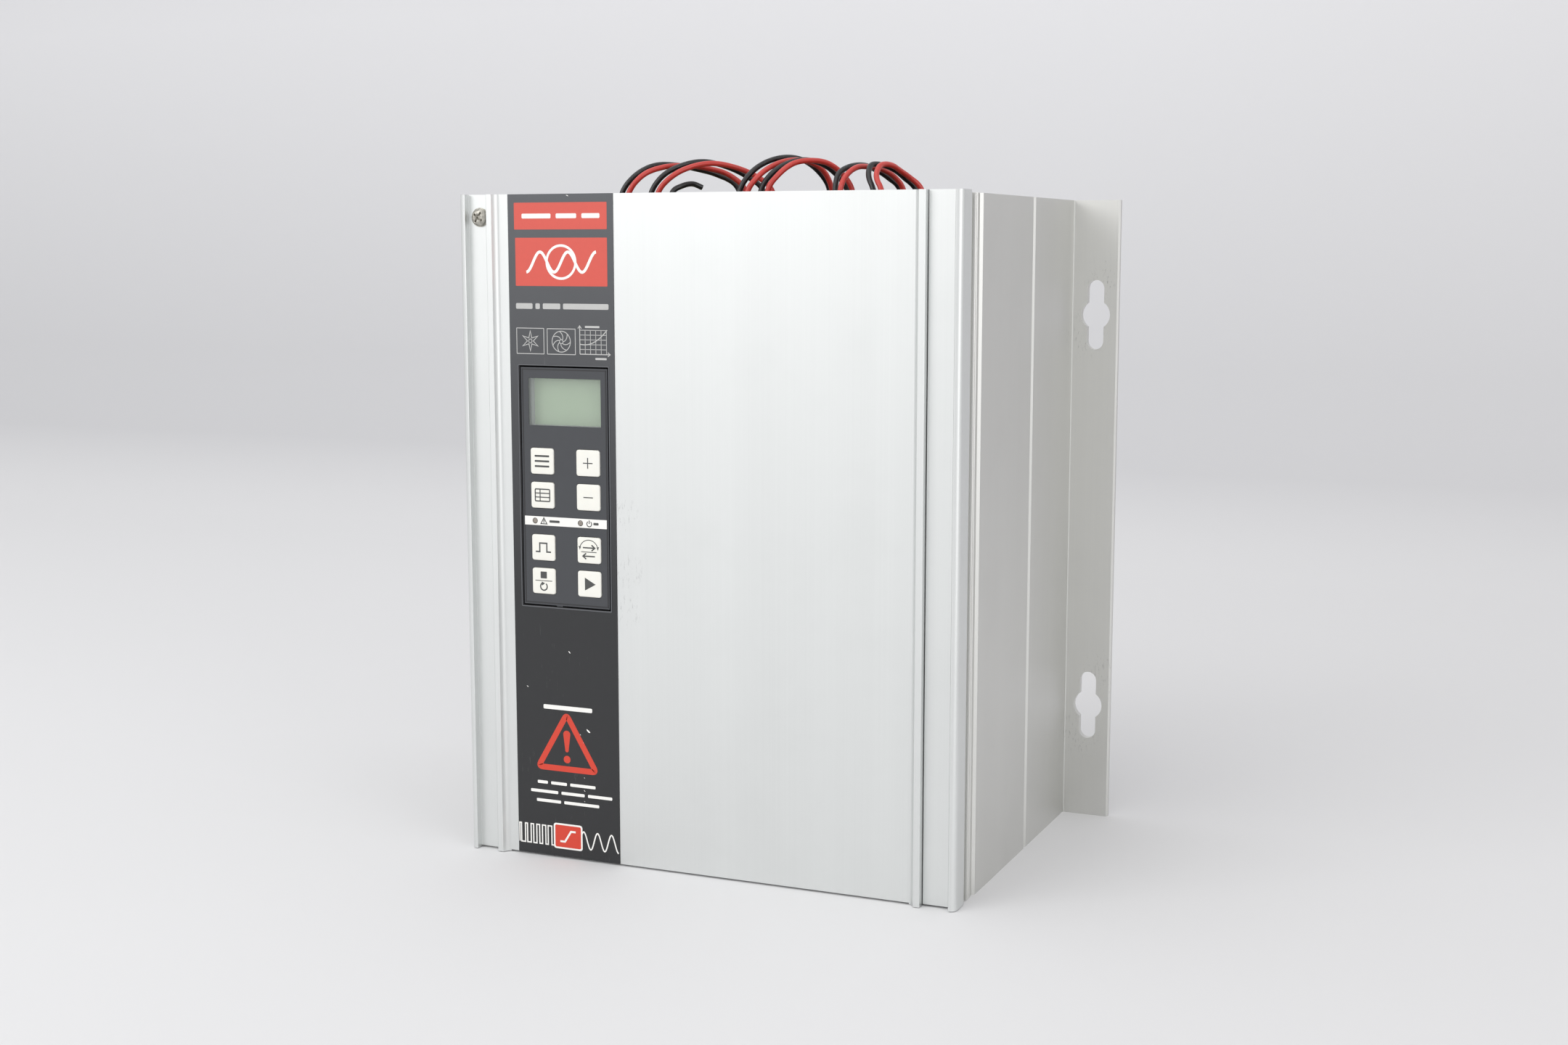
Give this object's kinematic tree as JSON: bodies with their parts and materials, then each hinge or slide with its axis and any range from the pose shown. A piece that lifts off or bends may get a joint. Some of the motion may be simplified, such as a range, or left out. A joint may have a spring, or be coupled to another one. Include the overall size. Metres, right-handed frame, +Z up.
{
  "type": "variable frequency drive",
  "caption": "Wall-mount variable frequency drive: aluminium housing with keyhole flanges, hinged door, pull-off keypad, heat sink, fans and lead pairs over the top.",
  "frame": {"origin": "centre of the bottom of the housing's box, on the surface it stands on", "axes": "+X to the right seen from the front, +Y from the door to the wall, +Z up"},
  "size_m": [0.281, 0.1712, 0.3172],
  "materials": {
    "anodised_aluminium": "satin, fine vertical extrusion lines",
    "heat_sink_aluminium": "raw extruded",
    "zinced_sheet": "zinc plated",
    "plated_steel": "worn zinc plate",
    "core_steel": "varnished laminations",
    "enamelled_copper": "enamelled wire",
    "label_film": "printed polyester film",
    "cradle_plastic": "moulded",
    "panel_plastic": "textured moulding",
    "key_plastic": "moulded, printed legend",
    "white_print": "printed film",
    "header_nylon": "moulded nylon",
    "clear_window": "clear polycarbonate",
    "display_glass": "reflective liquid crystal",
    "lamp_lens": "unlit tinted lens",
    "key_rubber": "moulded mat",
    "board_laminate": "solder mask",
    "black_plastic": "moulded",
    "terminal_green": "moulded",
    "capacitor_sleeve": "heat-shrunk sleeve",
    "ribbon_vinyl": "flat cable",
    "red_insulation": "silicone wire insulation",
    "black_insulation": "silicone wire insulation"
  },
  "bodies": {
    "chassis": {"side_profile_left": "anodised_aluminium", "side_profile_right": "anodised_aluminium", "heat_sink": "heat_sink_aluminium", "fan_bracket": "zinced_sheet", "gland_plate": "zinced_sheet", "top_guard": "zinced_sheet", "board_bracket": "zinced_sheet", "choke_core": "core_steel", "choke_winding": "enamelled_copper", "gate_header_front": "header_nylon", "gate_header_rear": "header_nylon", "control_board": "board_laminate", "power_board": "board_laminate", "fan_frame_left": "black_plastic", "fan_frame_right": "black_plastic", "power_module": "black_plastic", "power_terminals": "black_plastic", "control_terminals": "terminal_green", "dc_capacitor_1": "capacitor_sleeve", "dc_capacitor_2": "capacitor_sleeve", "dc_capacitor_3": "capacitor_sleeve", "door_ribbon": "ribbon_vinyl", "lead_1_red": "red_insulation", "lead_2_red": "red_insulation", "lead_3_red": "red_insulation", "lead_4_red": "red_insulation", "lead_5_red": "red_insulation", "lead_6_red": "red_insulation", "lead_1_black": "black_insulation", "lead_2_black": "black_insulation", "lead_3_black": "black_insulation", "lead_4_black": "black_insulation", "lead_5_black": "black_insulation", "lead_6_black": "black_insulation", "spare_lead": "black_insulation"},
    "front_door": {"door_panel": "anodised_aluminium", "door_rail_left": "anodised_aluminium", "door_rail_right": "anodised_aluminium", "door_label": "label_film", "panel_cradle": "cradle_plastic", "cradle_socket": "cradle_plastic", "door_screw": "plated_steel"},
    "control_panel": {"panel_bezel": "panel_plastic", "panel_back_cover": "panel_plastic", "key_mat": "key_rubber", "display_module": "display_glass", "display_window": "clear_window", "indicator_strip": "white_print", "alarm_lamp": "lamp_lens", "run_lamp": "lamp_lens"},
    "menu_key": {"key_menu": "key_plastic"},
    "plus_key": {"key_plus": "key_plastic"},
    "data_key": {"key_data": "key_plastic"},
    "minus_key": {"key_minus": "key_plastic"},
    "jog_key": {"key_jog": "key_plastic"},
    "reverse_key": {"key_reverse": "key_plastic"},
    "stop_key": {"key_stop": "key_plastic"},
    "start_key": {"key_start": "key_plastic"},
    "left_fan": {"fan_rotor_left": "black_plastic"},
    "right_fan": {"fan_rotor_right": "black_plastic"}
  },
  "joints": [
    {"name": "door_hinge", "type": "hinge", "parent": "chassis", "child": "front_door", "pos_m": [0.1156, -0.0725, 0.15], "axis": [0, 0, 1], "range_deg": [0, 105]},
    {"name": "panel_pull", "type": "slide", "parent": "front_door", "child": "control_panel", "axis": [0, -1, 0], "range_m": [0, 0.03]},
    {"name": "menu_press", "type": "slide", "parent": "control_panel", "child": "menu_key", "axis": [0, 1, 0], "range_m": [0, 0.0006], "stiffness_N_per_m": 600},
    {"name": "plus_press", "type": "slide", "parent": "control_panel", "child": "plus_key", "axis": [0, 1, 0], "range_m": [0, 0.0006], "stiffness_N_per_m": 600},
    {"name": "data_press", "type": "slide", "parent": "control_panel", "child": "data_key", "axis": [0, 1, 0], "range_m": [0, 0.0006], "stiffness_N_per_m": 600},
    {"name": "minus_press", "type": "slide", "parent": "control_panel", "child": "minus_key", "axis": [0, 1, 0], "range_m": [0, 0.0006], "stiffness_N_per_m": 600},
    {"name": "jog_press", "type": "slide", "parent": "control_panel", "child": "jog_key", "axis": [0, 1, 0], "range_m": [0, 0.0006], "stiffness_N_per_m": 600},
    {"name": "reverse_press", "type": "slide", "parent": "control_panel", "child": "reverse_key", "axis": [0, 1, 0], "range_m": [0, 0.0006], "stiffness_N_per_m": 600},
    {"name": "stop_press", "type": "slide", "parent": "control_panel", "child": "stop_key", "axis": [0, 1, 0], "range_m": [0, 0.0006], "stiffness_N_per_m": 600},
    {"name": "start_press", "type": "slide", "parent": "control_panel", "child": "start_key", "axis": [0, 1, 0], "range_m": [0, 0.0006], "stiffness_N_per_m": 600},
    {"name": "left_fan_spin", "type": "hinge", "parent": "chassis", "child": "left_fan", "pos_m": [-0.055, 0.0523, 0.02], "axis": [0, 0, 1], "continuous": true},
    {"name": "right_fan_spin", "type": "hinge", "parent": "chassis", "child": "right_fan", "pos_m": [0.055, 0.0523, 0.02], "axis": [0, 0, 1], "continuous": true}
  ]
}
